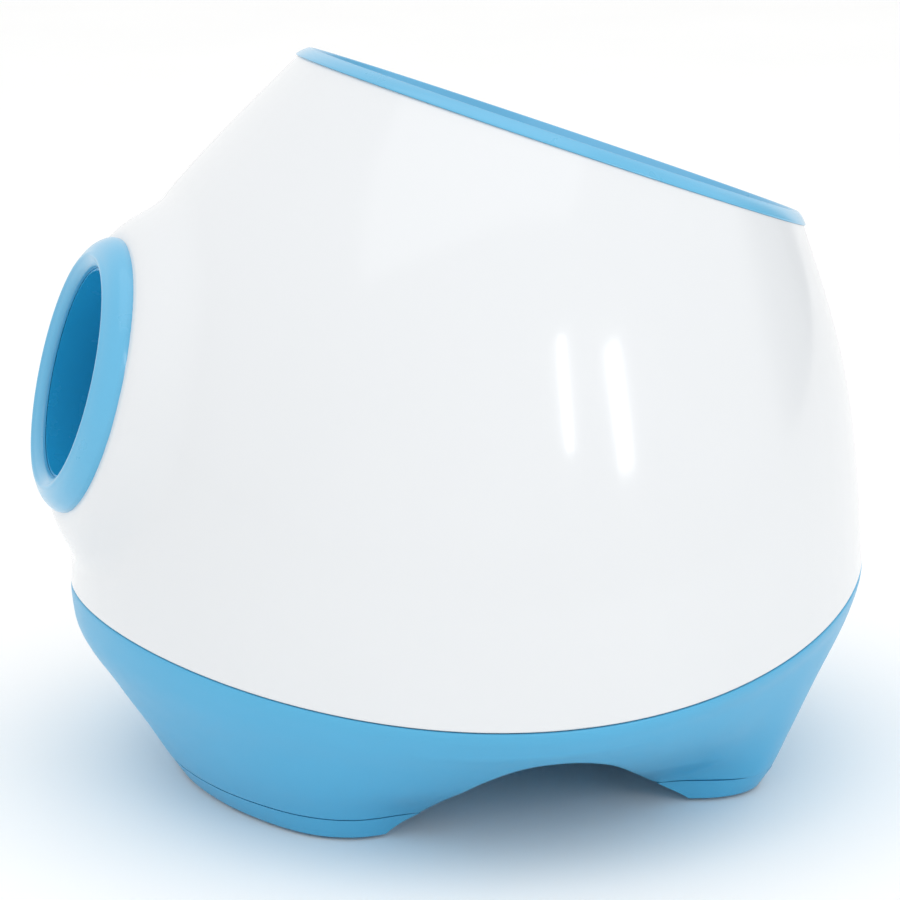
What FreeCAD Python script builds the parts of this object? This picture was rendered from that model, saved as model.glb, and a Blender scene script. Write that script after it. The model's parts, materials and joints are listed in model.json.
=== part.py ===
import FreeCAD, Part
import os
from math import sin, cos, tan, pi, radians, degrees, sqrt, atan2, hypot

os.makedirs("parts", exist_ok=True)
V = FreeCAD.Vector

# ------------------------------------------------------------------
# Automatic dog ball launcher.  Millimetres.  Front (barrel) is -Y, +Z is up,
# the floor is z = 0 and the body's vertical axis is x = 0.
# Everything is drawn about the body axis and moved by SHIFT_Y at the end, so
# that the origin is under the middle of the whole object.
# ------------------------------------------------------------------
R = 178.0            # radius of the body at the seam between the two shells
WALL = 3.0           # moulding wall
BALL_R = 33.5        # standard 67 mm ball

# seam height over the floor, z = SEAM0 + SEAM1*y + SEAM2*y*y (units of R)
SEAM0, SEAM1, SEAM2 = 0.3709, 0.0383, 0.150

# top opening circle
TOP_C = V(0, 0.2324 * R, 1.5716 * R)
TOP_TILT = radians(19.71)
RIM_R = 0.6652 * R
SHELL_TOP_R = 0.9766 * RIM_R

# barrel: axis direction and the circle where the ring meets the shell
BARREL_TILT = 15.67
BETA = radians(BARREL_TILT)
MV = V(0, -cos(BETA), sin(BETA))
NV = V(0, sin(BETA), cos(BETA))
BC = V(0, -0.9563 * R, 1.0411 * R)
RING_R = 0.3375 * R
SEAT_BORE = 52.0

# shell meridian shape: front, side, back values
K1 = (0.6455, 0.47, 0.4643)
K2 = (0.7304, 0.45, 0.3131)
LEAN0 = (-0.0297, -0.0428, -0.0559)
LEAN1 = (radians(90 - 42.3), 0.5411, 0.3123)
WEIGHT_F = 1.55

# base contour radius by azimuth from the front (units of R) at four heights
AZ = [0, 15, 30, 44, 52, 60, 75, 90, 105, 120, 131, 145, 160, 180]
LEVELS = [
    (0.00, [.745, .745, .755, .765, .735, .655, .575, .555, .575, .665, .790, .765, .730, .715]),
    (0.06, [.785, .783, .786, .790, .765, .695, .615, .595, .615, .690, .830, .800, .765, .750]),
    (0.15, [.840, .840, .842, .850, .840, .810, .760, .745, .760, .810, .875, .850, .820, .810]),
    (0.25, [.905, .905, .905, .910, .910, .905, .895, .890, .895, .905, .920, .900, .885, .880]),
]
# side arch between the front and rear feet, (y, z) in units of R
ARCH = [(-.42, -.06), (-.40, .00), (-.36, .032), (-.29, .074), (-.25, .125), (-.21, .180), (-.15, .230),
        (-.08, .246), (0, .238), (.08, .210), (.15, .166), (.25, .090), (.32, .042), (.38, .006), (.42, -.06)]
PARTING = 10.7       # height of the line between base shell and foot covers
COVER_Z0 = 1.5       # underside of the foot covers; the rubber pads stand on the floor

# launcher, measured in barrel coordinates: x, n (up from the axis), a (forward from the ring seat)
WHEEL_A = -125.0
WHEEL_X = 78.0
WHEEL_R = 48.0
TUBE_R0, TUBE_R1 = 44.8, 48.0
TUBE_BACK = -72.0
PLATE_N = 42.0
PLATE_T = 4.0
THROAT_Y = 50.7
THROAT_R0, THROAT_R1 = 36.0, 39.0
BEND_R = 45.0
BEND_Z = 182.7
FUNNEL_Z = 208.0
# gate
GATE_Y, GATE_Z = 96.0, 186.0
GEAR_TEETH, PINION_TEETH, MODULE = 36, 12, 1.0
GATE_CD = MODULE * (GEAR_TEETH + PINION_TEETH) / 2.0
# control panel
PAN_Z = 150.0
PAN_Y = 165.0
POWER_X, RANGE_X, LENS_X, JACK_X = -30.0, -6.0, 13.0, 31.0
BTN_R = 8.0
SHIFT_Y = 7.8


# ---------------------------------------------------------------- helpers
def out(name, shape):
    s = shape.copy()
    s.translate(V(0, SHIFT_Y, 0))
    sol = [x for x in s.Solids]
    s = sol[0] if len(sol) == 1 else Part.makeCompound(sol)
    s.exportStep("parts/%s.step" % name)


def blend3(v, phi):
    f, s, b = v
    return (f + 2 * s + b) / 4 + (f - b) / 2 * cos(phi) + (f - 2 * s + b) / 4 * cos(2 * phi)


def seam_z(y):
    q = y / R
    return R * (SEAM0 + SEAM1 * q + SEAM2 * q * q)


def body_point(phi, t, off=0.0):
    """shell surface before the barrel blend; phi from the front, t 0 at the seam, 1 at the top"""
    rs = R
    S = V(rs * sin(phi), -rs * cos(phi), 0)
    S.z = seam_z(S.y)
    T = TOP_C + V(SHELL_TOP_R * sin(phi), -SHELL_TOP_R * cos(phi) * cos(TOP_TILT),
                  SHELL_TOP_R * cos(phi) * sin(TOP_TILT))
    er = V(sin(phi), -cos(phi), 0)
    ez = V(0, 0, 1)
    l0, l1 = blend3(LEAN0, phi), blend3(LEAN1, phi)
    P1 = S + (er * sin(l0) + ez * cos(l0)) * (blend3(K1, phi) * R)
    P2 = T - (ez * cos(l1) - er * sin(l1)) * (blend3(K2, phi) * R)
    w = blend3((WEIGHT_F, 1.0, 1.0), phi)
    b0, b1, b2, b3 = (1 - t) ** 3, 3 * (1 - t) ** 2 * t * w, 3 * (1 - t) * t * t * w, t ** 3
    return (S * b0 + P1 * b1 + P2 * b2 + T * b3) * (1.0 / (b0 + b1 + b2 + b3))


def barrel_coords(p):
    r = p - BC
    return r.x, r.dot(NV), r.dot(MV)


# height of the plain surface over the ring's seat plane, at the ring's radius, by angle
def seat_table():
    tab = []
    pts = []
    for i in range(161):
        phi = radians(-50 + 100.0 * i / 160)
        for j in range(121):
            x, n, a = barrel_coords(body_point(phi, j / 120.0))
            rho = hypot(x, n)
            if 45 < rho < 75 and a > -60:
                pts.append((degrees(atan2(x, n)) % 360, rho, a))
    for k in range(36):
        ang = k * 10.0
        sw = sa = 0.0
        for (q, rho, a) in pts:
            d = (q - ang + 180) % 360 - 180
            if abs(d) < 9 and abs(rho - RING_R) < 5:
                w = 1.0 / (0.3 + d * d * 0.2 + (rho - RING_R) ** 2)
                sw += w
                sa += w * a
        tab.append(sa / sw)
    return tab


SEAT = seat_table()


def seat_height(ang):
    q = (ang % 360) / 10.0
    i = int(q) % 36
    f = q - int(q)
    f = f * f * (3 - 2 * f)
    return SEAT[i] * (1 - f) + SEAT[(i + 1) % 36] * f


def shell_point(phi, t):
    p = body_point(phi, t)
    x, n, a = barrel_coords(p)
    if a < -60:
        return p
    rho = hypot(x, n)
    reach = 28.0
    s = (rho - RING_R) / reach
    if s >= 1:
        return p
    w = 1.0 if s <= 0 else (1 - s) ** 3 * (1 + 3 * s + 6 * s * s)
    return p - MV * (seat_height(degrees(atan2(x, n))) * w)


def shell_inner(phi, t):
    e = 0.004
    p = shell_point(phi, t)
    du = shell_point(phi + e, t) - shell_point(phi - e, t)
    t0, t1 = max(0.0, t - e), min(1.0, t + e)
    dv = shell_point(phi, t1) - shell_point(phi, t0)
    nrm = du.cross(dv)
    nrm.normalize()
    if nrm.dot(V(sin(phi), -cos(phi), 0)) < 0:
        nrm = nrm * -1
    return p - nrm * WALL


def ring_wire(pts):
    c = Part.BSplineCurve()
    c.interpolate(pts, PeriodicFlag=True)
    return Part.Wire([c.toShape()])


def closed_loft(wires):
    side = Part.makeLoft(wires, False, False)
    lo, hi = Part.Face(wires[0]), Part.Face(wires[-1])
    sh = Part.makeShell(side.Faces + [lo, hi])
    sol = Part.Solid(sh)
    if sol.Volume < 0:
        sol.reverse()
    return sol


NPH = 48
TS = [0.0, 0.08, 0.17, 0.26, 0.35, 0.43, 0.50, 0.57, 0.64, 0.72, 0.81, 0.90, 1.0]


def loop(fun):
    return ring_wire([fun(2 * pi * i / NPH) for i in range(NPH)])


def shell_solid(inner):
    f = shell_inner if inner else shell_point
    r0 = R - (WALL if inner else 0)
    wires = [loop(lambda p: V(r0 * sin(p), -r0 * cos(p), 20.0)),
             loop(lambda p: V(r0 * sin(p), -r0 * cos(p), 0.55 * seam_z(-R * cos(p)) + 8.0))]
    for t in TS:
        wires.append(loop(lambda p: f(p, t)))
    if inner:
        rt = SHELL_TOP_R - 10.0
        hub = TOP_C + V(0, sin(TOP_TILT), cos(TOP_TILT)) * 12.0
        wires.append(loop(lambda p: hub + V(rt * sin(p), -rt * cos(p) * cos(TOP_TILT), rt * cos(p) * sin(TOP_TILT))))
    return closed_loft(wires)


def catmull(xs, ys, x):
    n = len(xs)
    i = 0
    while i < n - 2 and x > xs[i + 1]:
        i += 1
    h = xs[i + 1] - xs[i]

    def slope(k):
        if k == 0 or k == n - 1:
            return 0.0
        return (ys[k + 1] - ys[k - 1]) / (xs[k + 1] - xs[k - 1])
    u = (x - xs[i]) / h
    m0, m1 = slope(i) * h, slope(i + 1) * h
    return ((2 * u ** 3 - 3 * u * u + 1) * ys[i] + (u ** 3 - 2 * u * u + u) * m0 +
            (3 * u * u - 2 * u ** 3) * ys[i + 1] + (u ** 3 - u * u) * m1)


def level_r(k, phi):
    a = abs(degrees(atan2(sin(phi), cos(phi))))
    return R * catmull(AZ, LEVELS[k][1], a)


def base_solid(off):
    def flat(z, k, extra=0.0):
        return loop(lambda p: V((level_r(k, p) - off - extra) * sin(p), -(level_r(k, p) - off - extra) * cos(p), z))

    def corner(p):
        r = R * (0.955 + 0.04 * cos(p) ** 2) - off
        return V(r * sin(p), -r * cos(p), seam_z(-R * cos(p)) - 0.07 * R)

    def upper(z0, f):
        return loop(lambda p: V((R - off) * sin(p), -(R - off) * cos(p), z0 + f * seam_z(-R * cos(p))))
    wires = [flat(-8.0, 0, 4.0)]
    for k, (z, _) in enumerate(LEVELS):
        wires.append(flat(z * R, k))
    wires.append(loop(corner))
    wires.append(upper(0.0, 1.0))
    wires.append(upper(60.0, 0.4))
    wires.append(upper(125.0, 0.0))
    return closed_loft(wires)


def slab_above_seam(dz=0.0):
    """everything over the seam surface"""
    pts = [V(-300, y, seam_z(y) + dz) for y in (-260, -200, -140, -80, -20, 40, 100, 160, 220, 260)]
    c = Part.BSplineCurve()
    c.interpolate(pts)
    e = [c.toShape(), Part.makeLine(pts[-1], V(-300, 260, 500)), Part.makeLine(V(-300, 260, 500), V(-300, -260, 500)),
         Part.makeLine(V(-300, -260, 500), pts[0])]
    return Part.Face(Part.Wire(e)).extrude(V(600, 0, 0))


def tunnel(up):
    pts = [V(-300, y * R, z * R + up) for (y, z) in ARCH]
    c = Part.BSplineCurve()
    c.interpolate(pts)
    e = [c.toShape(), Part.makeLine(pts[-1], V(-300, pts[-1].y + up, -60)),
         Part.makeLine(V(-300, pts[-1].y + up, -60), V(-300, pts[0].y - up, -60)),
         Part.makeLine(V(-300, pts[0].y - up, -60), pts[0])]
    return Part.Face(Part.Wire(e)).extrude(V(600, 0, 0))


def L(shape):
    """from barrel coordinates (x, n, a) to the body frame"""
    s = shape.copy()
    s.rotate(V(0, 0, 0), V(1, 0, 0), 90 - BARREL_TILT)
    s.translate(BC)
    return s


def T(shape):
    """from rim coordinates to the body frame"""
    s = shape.copy()
    s.rotate(V(0, 0, 0), V(1, 0, 0), -degrees(TOP_TILT))
    s.translate(TOP_C)
    return s


def revolve(pts, arcs=()):
    """profile (r, z) turned about z; arcs maps segment index to a mid point"""
    arcs = dict(arcs)
    e = []
    n = len(pts)
    for i in range(n):
        a, b = pts[i], pts[(i + 1) % n]
        A, B = V(a[0], 0, a[1]), V(b[0], 0, b[1])
        if i in arcs:
            m = arcs[i]
            e.append(Part.Arc(A, V(m[0], 0, m[1]), B).toShape())
        else:
            e.append(Part.makeLine(A, B))
    return Part.Face(Part.Wire(e)).revolve(V(0, 0, 0), V(0, 0, 1), 360)


def box(x0, x1, y0, y1, z0, z1):
    return Part.makeBox(x1 - x0, y1 - y0, z1 - z0, V(x0, y0, z0))


def cyl(r, h, p, d):
    return Part.makeCylinder(r, h, p, d)


def tube(r0, r1, h, p, d):
    return cyl(r1, h, p, d).cut(cyl(r0, h, p, d))


def at(shape, v):
    s = shape.copy()
    s.translate(v)
    return s


def stadium(x, z, r, y0, y1):
    """oval prism along y: half length x, half height z = r, about (0, PAN_Z)"""
    a = x - r
    e = [Part.makeLine(V(-a, y0, PAN_Z + r), V(a, y0, PAN_Z + r)),
         Part.Arc(V(a, y0, PAN_Z + r), V(a + r, y0, PAN_Z), V(a, y0, PAN_Z - r)).toShape(),
         Part.makeLine(V(a, y0, PAN_Z - r), V(-a, y0, PAN_Z - r)),
         Part.Arc(V(-a, y0, PAN_Z - r), V(-a - r, y0, PAN_Z), V(-a, y0, PAN_Z + r)).toShape()]
    return Part.Face(Part.Wire(e)).extrude(V(0, y1 - y0, 0))


def screw(p, d, shank_r=1.5, length=10.0, head_r=2.8, head_h=2.2):
    """p is the bearing face of the head, d points along the shank"""
    d = V(d)
    d.normalize()
    h = cyl(head_r, head_h, p - d * head_h, d)
    s = cyl(shank_r, length, p, d)
    h = h.fuse(s)
    return h.cut(cyl(1.1, 1.2, p - d * head_h, d))


def spur(teeth, m, width, bore, phase=0.0, slack=0.12):
    """spur gear along z with straight-flanked teeth"""
    rp = m * teeth / 2.0
    ra, rf = rp + 0.95 * m, rp - 1.2 * m
    pts = []
    pitch = 2 * pi / teeth
    for i in range(teeth):
        c = phase + i * pitch
        hr = 0.25 * pitch * 1.55
        hp = 0.25 * pitch - slack / rp
        ha = 0.25 * pitch * 0.42
        for (r, da) in ((rf, -hr), (rp, -hp), (ra, -ha), (ra, ha), (rp, hp), (rf, hr)):
            pts.append(V(r * cos(c + da), r * sin(c + da), 0))
    pts.append(pts[0])
    s = Part.Face(Part.makePolygon(pts)).extrude(V(0, 0, width))
    return s.cut(cyl(bore, width, V(0, 0, 0), V(0, 0, 1)))


def mirror_x(s):
    return s.mirror(V(0, 0, 0), V(1, 0, 0))


EX, EY, EZ = V(1, 0, 0), V(0, 1, 0), V(0, 0, 1)


def biggest(s):
    return max(s.Solids, key=lambda q: q.Volume)


def rib(x, y, z0, z1, t=3.0, reach=60.0):
    """web from a boss at (x, y) straight out to the wall"""
    q = degrees(atan2(y, x))
    b = Part.makeBox(reach, t, z1 - z0, V(0, -t / 2, z0))
    b.rotate(V(0, 0, 0), V(0, 0, 1), q)
    return at(b, V(x, y, 0))


# ---------------------------------------------------------------- outer shells
top_cut = T(box(-300, 300, -300, 300, -3.5, 200))
upper_slab = slab_above_seam(0.0)
outer = shell_solid(False)
inner = shell_solid(True)
collar = L(tube(SEAT_BORE, RING_R, 9.0, V(0, 0, -9.0), EZ))
upper = outer.cut(inner).common(upper_slab).cut(top_cut)
upper = upper.cut(L(cyl(SEAT_BORE + 2, 60, V(0, 0, -45), EZ))).fuse(collar)
upper = upper.cut(L(cyl(RING_R + 0.4, 40, V(0, 0, 0), EZ))).cut(L(cyl(SEAT_BORE, 80, V(0, 0, -45), EZ)))
upper = upper.cut(stadium(48.3, 22, 22.3, 140, 200))
out("upper_shell", biggest(upper))

b_out = base_solid(0.0)
b_in = base_solid(WALL)
tun = tunnel(0.0)
tun_in = tunnel(WALL)
solid_base = b_out.cut(tun)
cavity = b_in.cut(tun_in)
below_part = box(-300, 300, -300, 300, -50, PARTING)
base = solid_base.cut(cavity).cut(upper_slab).cut(below_part)

# bosses that carry the launcher plate
PLATE_BOSS = [(100.0, -90.0), (-100.0, -90.0), (100.0, -174.0), (-100.0, -174.0)]


def bpt(x, n, a):
    return BC + V(x, 0, 0) + NV * n + MV * a


low_face = L(box(-300, 300, -PLATE_N - PLATE_T, 300, -300, 100))
for (x, a) in PLATE_BOSS:
    c = bpt(x, -PLATE_N - PLATE_T, a)
    b = cyl(6.0, 160, V(c.x, c.y, 0), EZ).cut(low_face)
    if a > -120:
        b = b.fuse(rib(c.x, c.y, 0, 62))
    base = base.fuse(b.common(solid_base).cut(below_part))
for (x, a) in PLATE_BOSS:
    base = base.cut(cyl(1.6, 18, bpt(x, -PLATE_N - PLATE_T, a), NV * -1))
# bosses for the foot covers
COVER_SCREWS = [(45.0, -104.0), (-45.0, -104.0), (72.0, 108.0), (-72.0, 108.0)]
for (x, y) in COVER_SCREWS:
    base = base.fuse(cyl(5.0, 22, V(x, y, PARTING), EZ).fuse(rib(x, y, PARTING, PARTING + 22)).common(solid_base))
for (x, y) in COVER_SCREWS:
    base = base.cut(cyl(1.6, 18, V(x, y, PARTING), EZ))
base = base.cut(upper_slab)
out("base_shell", biggest(base))

PADS_F = [(70.0, -94.0), (-70.0, -94.0)]
PADS_R = [(84.0, 93.0), (-84.0, 93.0)]
cover = solid_base.common(box(-300, 300, -300, 300, COVER_Z0, PARTING - 0.3))
pocket = cavity.common(box(-300, 300, -300, 300, COVER_Z0 + 3.5, 60))
cover = cover.cut(pocket)
front_cover = biggest(cover.common(box(-300, 300, -300, 0, -10, 60)))
rear_cover = biggest(cover.common(box(-300, 300, 0, 300, -10, 60)))


def fit_cover(c, pads, screws):
    for (x, y) in screws:
        c = c.fuse(cyl(5.0, PARTING - 0.3 - COVER_Z0, V(x, y, COVER_Z0), EZ))
        c = c.cut(cyl(1.7, 20, V(x, y, -5), EZ)).cut(cyl(3.2, 4.0, V(x, y, COVER_Z0 - 1), EZ))
    for (x, y) in pads:
        c = c.cut(cyl(12.0, 1.8, V(x, y, COVER_Z0 - 0.3), EZ))
    return biggest(c)


front_cover = fit_cover(front_cover, PADS_F, COVER_SCREWS[:2])
rear_cover = fit_cover(rear_cover, PADS_R, COVER_SCREWS[2:])
rear_cover = rear_cover.cut(box(-38.2, 38.2, 83.8, 118.2, -5, 3.52)).cut(box(-35, 35, 87, 115, -5, 20))
out("front_foot_cover", front_cover)
door = box(-38, 38, 84, 118, COVER_Z0, 3.4)
door = door.fuse(box(-34.7, 34.7, 87.3, 114.7, 3.4, 5.4))
DOOR_SCREWS = [(-36.5, 101.0), (36.5, 101.0)]
for (x, y) in DOOR_SCREWS:
    rear_cover = rear_cover.fuse(box(x - 3.5, x + 3.5, 96, 106, 3.52, 9.5).cut(box(-34.9, 34.9, 80, 120, 0, 20)))
    rear_cover = rear_cover.cut(cyl(0.9, 20, V(x, y, 3), EZ))
    door = door.cut(cyl(0.9, 20, V(x, y, -5), EZ))
out("rear_foot_cover", rear_cover)
out("battery_door", door)
out("battery_door_screws", Part.makeCompound([cyl(1.4, 1.2, V(x, y, 0.3), EZ).fuse(cyl(0.8, 6.5, V(x, y, 1.4), EZ))
                                              for (x, y) in DOOR_SCREWS]))
out("foot_pads", Part.makeCompound([revolve([(0, 0), (10.6, 0), (11.8, 1.2), (11.8, 3.0), (0, 3.0)]).translated(V(x, y, 0))
                                    for (x, y) in PADS_F + PADS_R]))
out("foot_cover_screws", Part.makeCompound([screw(V(x, y, COVER_Z0 + 3.0), EZ, 1.5, 18, 2.9, 2.0) for (x, y) in COVER_SCREWS]))

# ---------------------------------------------------------------- rim and funnel
rim = revolve([(118.4, -3.4), (118.4, -2.8), (114.1, 1.2), (112.9, 1.2), (109.6, -6.0), (109.6, -10.0),
               (111.4, -10.0), (111.4, -3.4)], {2: (113.5, 1.5)})
out("top_rim", T(rim))


def circ(c, r, nrm):
    return Part.Wire([Part.makeCircle(r, c, nrm)])


UPV = V(0, sin(TOP_TILT), cos(TOP_TILT))


BOWL = [(0.0, THROAT_R1), (0.12, 50.0), (0.25, 62.0), (0.4, 76.5), (0.55, 88.0), (0.7, 96.8), (0.85, 104.0), (1.0, 109.2)]


def bowl_solid(off, ext):
    lo = V(0, THROAT_Y, FUNNEL_Z)
    hi = TOP_C + UPV * -6.2
    w = []
    if ext:
        w.append(circ(lo - EZ * 8, THROAT_R1 - off, EZ))
    else:
        w.append(circ(lo - EZ * 3, THROAT_R1 - off, EZ))
    for f, r in BOWL:
        n = EZ * (1 - f) + UPV * f
        n.normalize()
        w.append(circ(lo + (hi - lo) * f, r - off, n))
    if ext:
        w.append(circ(hi + UPV * 8, BOWL[-1][1] - off + 3.0, UPV))
    return Part.makeLoft(w, True, True)


funnel = bowl_solid(0.0, False).cut(bowl_solid(3.0, True))
out("funnel_dish", funnel)

# ---------------------------------------------------------------- nozzle ring and barrel
ring = revolve([(RING_R, 0.0), (RING_R, 2.0), (52.2, 9.4), (49.6, 9.4), (45.8, 6.6), (45.8, 4.9), (48.3, 4.9), (48.3, -8.0),
                (51.7, -8.0), (51.7, 0.0)], {1: (56.9, 6.5), 2: (50.9, 10.1), 3: (47.4, 8.3)})
out("nozzle_ring", L(ring))
barrel = tube(TUBE_R0, TUBE_R1, 4.7 - TUBE_BACK, V(0, 0, TUBE_BACK), EZ)
out("barrel_tube", L(barrel))

# ---------------------------------------------------------------- feed elbow
bend_c = V(0, THROAT_Y - BEND_R, BEND_Z)


e_end = bend_c + (V(0, cos(radians(-(90 + BARREL_TILT))), sin(radians(-(90 + BARREL_TILT)))) * BEND_R)
bend_a = (e_end - BC).dot(MV)
# three joined stretches of one pipe: straight throat, bend, short mouth
e_top = tube(THROAT_R0, THROAT_R1, FUNNEL_Z - 3.3 - BEND_Z, V(0, THROAT_Y, BEND_Z), EZ)
annulus = Part.Face(circ(V(0, THROAT_Y, BEND_Z), THROAT_R1, EZ)).cut(Part.Face(circ(V(0, THROAT_Y, BEND_Z), THROAT_R0, EZ)))
e_bend = annulus.Faces[0].revolve(bend_c, EX, -(90 + BARREL_TILT))
e_mouth = L(tube(THROAT_R0, THROAT_R1, 11.0, V(0, 0, bend_a), EZ))
bore_v = cyl(THROAT_R0, 60, V(0, THROAT_Y, 170), EZ)
slot = box(-14.5, 14.5, THROAT_Y + 14, 150, 108, GATE_Z + 7)
left_lug = box(-34, -28, 66, 103, 179, 203).cut(bore_v)
right_lug = box(28, 38.7, 62, 86, 190, 203).cut(bore_v)
SCREW_Y, SCREW_Z = 71.0, 198.0
for nm, x0, x1, lug in (("left", -200, -0.02, left_lug), ("right", 0.02, 200, right_lug)):
    side = box(x0, x1, -300, 300, 0, 400)
    h = e_top.common(side).fuse(e_bend.common(side)).fuse(e_mouth.common(side))
    h = h.cut(slot).fuse(lug)
    h = h.cut(cyl(3.15, 30, V(-40, GATE_Y, GATE_Z), EX)).cut(cyl(1.3, 30, V(30, SCREW_Y, SCREW_Z), EX))
    h = h.cut(cyl(2.4, 120, V(-60, THROAT_Y, 197), EX))
    out("feed_elbow_" + nm, biggest(h))

# ball sensors either side of the throat
sens = []
for s in (-1, 1):
    b = box(min(s * 37, s * 45), max(s * 37, s * 45), THROAT_Y - 5, THROAT_Y + 5, 192, 202)
    b = b.cut(cyl(THROAT_R1, 40, V(0, THROAT_Y, 180), EZ))
    b = b.fuse(cyl(2.2, 3.5, V(s * 37.0 if s > 0 else -40.5, THROAT_Y, 197), EX))
    sens.append(b.cut(right_lug))
out("ball_sensors", Part.makeCompound(sens))

# ---------------------------------------------------------------- ball gate
gate = box(-12.5, 12.5, GATE_Y - 60, GATE_Y, GATE_Z - 1.6, GATE_Z + 1.6)
gate = gate.fuse(cyl(6.0, 25, V(-12.5, GATE_Y, GATE_Z), EX))
gate = gate.fuse(box(-2, 2, GATE_Y - 50, GATE_Y, GATE_Z - 5, GATE_Z))
gate = gate.cut(cyl(3.0, 60, V(-30, GATE_Y, GATE_Z), EX))
out("ball_gate", gate)
out("gate_shaft", cyl(3.0, 87, V(-36, GATE_Y, GATE_Z), EX))
gear = spur(GEAR_TEETH, MODULE, 6.0, 3.0)
gear = gear.fuse(tube(3.0, 6.0, 8.0, V(0, 0, 0), EZ))
gear.rotate(V(0, 0, 0), EY, 90)
out("gate_gear", gear.translated(V(42.5, GATE_Y, GATE_Z)))
pin = spur(PINION_TEETH, MODULE, 6.0, 1.0)
# the axis of the gear stands along x; a tooth gap of the pinion faces a gear tooth
pin.rotate(V(0, 0, 0), EZ, -90 + 180.0 / PINION_TEETH)
pin.rotate(V(0, 0, 0), EY, 90)
out("gate_pinion", pin.translated(V(42.5, GATE_Y + GATE_CD, GATE_Z)).fuse(cyl(1.0, 12, V(36.7, GATE_Y + GATE_CD, GATE_Z), EX)))
br = box(39, 41, 66, 134, 172, 203)
br = br.cut(cyl(3.15, 10, V(35, GATE_Y, GATE_Z), EX)).cut(cyl(4.0, 10, V(35, GATE_Y + GATE_CD, GATE_Z), EX))
br = br.cut(cyl(1.3, 10, V(35, SCREW_Y, SCREW_Z), EX))
out("gate_bracket", br)
gm = cyl(10, 36, V(2.8, GATE_Y + GATE_CD, GATE_Z), EX).fuse(tube(1.2, 3.8, 1.5, V(38.8, GATE_Y + GATE_CD, GATE_Z), EX))
gm = gm.cut(cyl(1.2, 10, V(34, GATE_Y + GATE_CD, GATE_Z), EX))
out("gate_motor", gm)
out("gate_bracket_screw", screw(V(41, SCREW_Y, SCREW_Z), EX * -1, 1.2, 8, 2.4, 1.6))

# ---------------------------------------------------------------- launcher frame (barrel coordinates)
N0, N1 = -PLATE_N - PLATE_T, -PLATE_N
AX = V(0, 1, 0)
POSTS = [(113.0, -84.0), (-113.0, -84.0), (106.0, -178.0), (-106.0, -178.0)]


def plate(n0, n1):
    pts = [(-70, -75), (70, -75), (119, -78), (119, -100), (112, -184), (-112, -184), (-119, -100), (-119, -78)]
    e = Part.makePolygon([V(x, n0, a) for (x, a) in pts] + [V(pts[0][0], n0, pts[0][1])])
    return Part.Face(e).extrude(V(0, n1 - n0, 0))


low = plate(N0, N1)
for s in (-1, 1):
    low = low.cut(cyl(9.0, 10, V(s * WHEEL_X, N0 - 2, WHEEL_A), AX))
    for d in (-14, 14):
        low = low.cut(cyl(1.6, 10, V(s * WHEEL_X + d, N0 - 2, WHEEL_A), AX))
for (x, a) in PLATE_BOSS:
    low = low.cut(cyl(1.7, 10, V(x, N0 - 2, a), AX))
for (x, a) in POSTS:
    low = low.cut(cyl(1.3, 10, V(x, N0 - 2, a), AX))
trough = box(-33, 33, N1, -19, -157, -75).cut(cyl(35.8, 120, V(0, 0, -180), EZ))
low = low.fuse(trough)
out("launcher_lower_plate", L(low))

top = plate(PLATE_N, PLATE_N + PLATE_T)
top = top.cut(box(-46, 46, 30, 60, -200, -150))
for s in (-1, 1):
    top = top.cut(cyl(8.0, 10, V(s * WHEEL_X, PLATE_N - 2, WHEEL_A), AX))
for (x, a) in POSTS:
    top = top.cut(cyl(1.3, 10, V(x, PLATE_N - 2, a), AX))
guide = box(-33, 33, 19, PLATE_N, -148, -75).cut(cyl(36.5, 120, V(0, 0, -180), EZ))
top = top.fuse(guide)
out("launcher_upper_plate", L(top))
out("plate_posts", Part.makeCompound([L(tube(1.3, 4.0, 2 * PLATE_N, V(x, -PLATE_N, a), AX)) for (x, a) in POSTS]))
ps = []
for (x, a) in POSTS:
    ps.append(L(screw(V(x, PLATE_N + PLATE_T, a), AX * -1, 1.2, 14, 2.6, 2.0)))
    ps.append(L(screw(V(x, N0, a), AX, 1.2, 14, 2.6, 2.0)))
out("post_screws", Part.makeCompound(ps))
out("frame_screws", Part.makeCompound([L(screw(V(x, N1, a), AX * -1, 1.5, 18, 2.9, 2.0)) for (x, a) in PLATE_BOSS]))

for s, nm in ((-1, "left"), (1, "right")):
    c = V(s * WHEEL_X, 0, WHEEL_A)
    can = cyl(21, 58, c + V(0, N0 - 58, 0), AX).fuse(cyl(8.6, 3.0, c + V(0, N0, 0), AX))
    can = can.cut(cyl(3.0, 24, c + V(0, N0 - 20, 0), AX))
    can = can.fuse(cyl(12, 3, c + V(0, N0 - 61, 0), AX))
    for d in (-14, 14):
        can = can.cut(cyl(1.5, 8, c + V(d, N0 - 8, 0), AX))
    out("wheel_motor_" + nm, L(can))
    out("wheel_shaft_" + nm, L(cyl(2.5, 66 + PLATE_N + PLATE_T - 4, c + V(0, -62, 0), AX)))
    hub = revolve([(2.5, -17), (8, -17), (8, -11.5), (33.5, -11.5), (34, -14.5), (39.7, -14.5), (39.7, 14.5), (34, 14.5),
                   (33.5, 11.5), (8, 11.5), (8, 17), (2.5, 17)])
    hub.rotate(V(0, 0, 0), EX, -90)
    for k in range(6):
        q = radians(60 * k + 30)
        hub = hub.cut(cyl(3.5, 30, V(21 * cos(q), -15, 21 * sin(q)), AX))
    out("wheel_hub_" + nm, L(hub.translated(c)))
    tyre = revolve([(39.7, -16), (46.6, -16), (WHEEL_R, -14.4), (WHEEL_R, 14.4), (46.6, 16), (39.7, 16)], {2: (46.3, 0)})
    tyre.rotate(V(0, 0, 0), EX, -90)
    out("wheel_tyre_" + nm, L(tyre.translated(c)))
out("wheel_bearings", Part.makeCompound([L(tube(2.6, 7.9, 4.0, V(s * WHEEL_X, PLATE_N, WHEEL_A), AX)) for s in (-1, 1)]))
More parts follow.
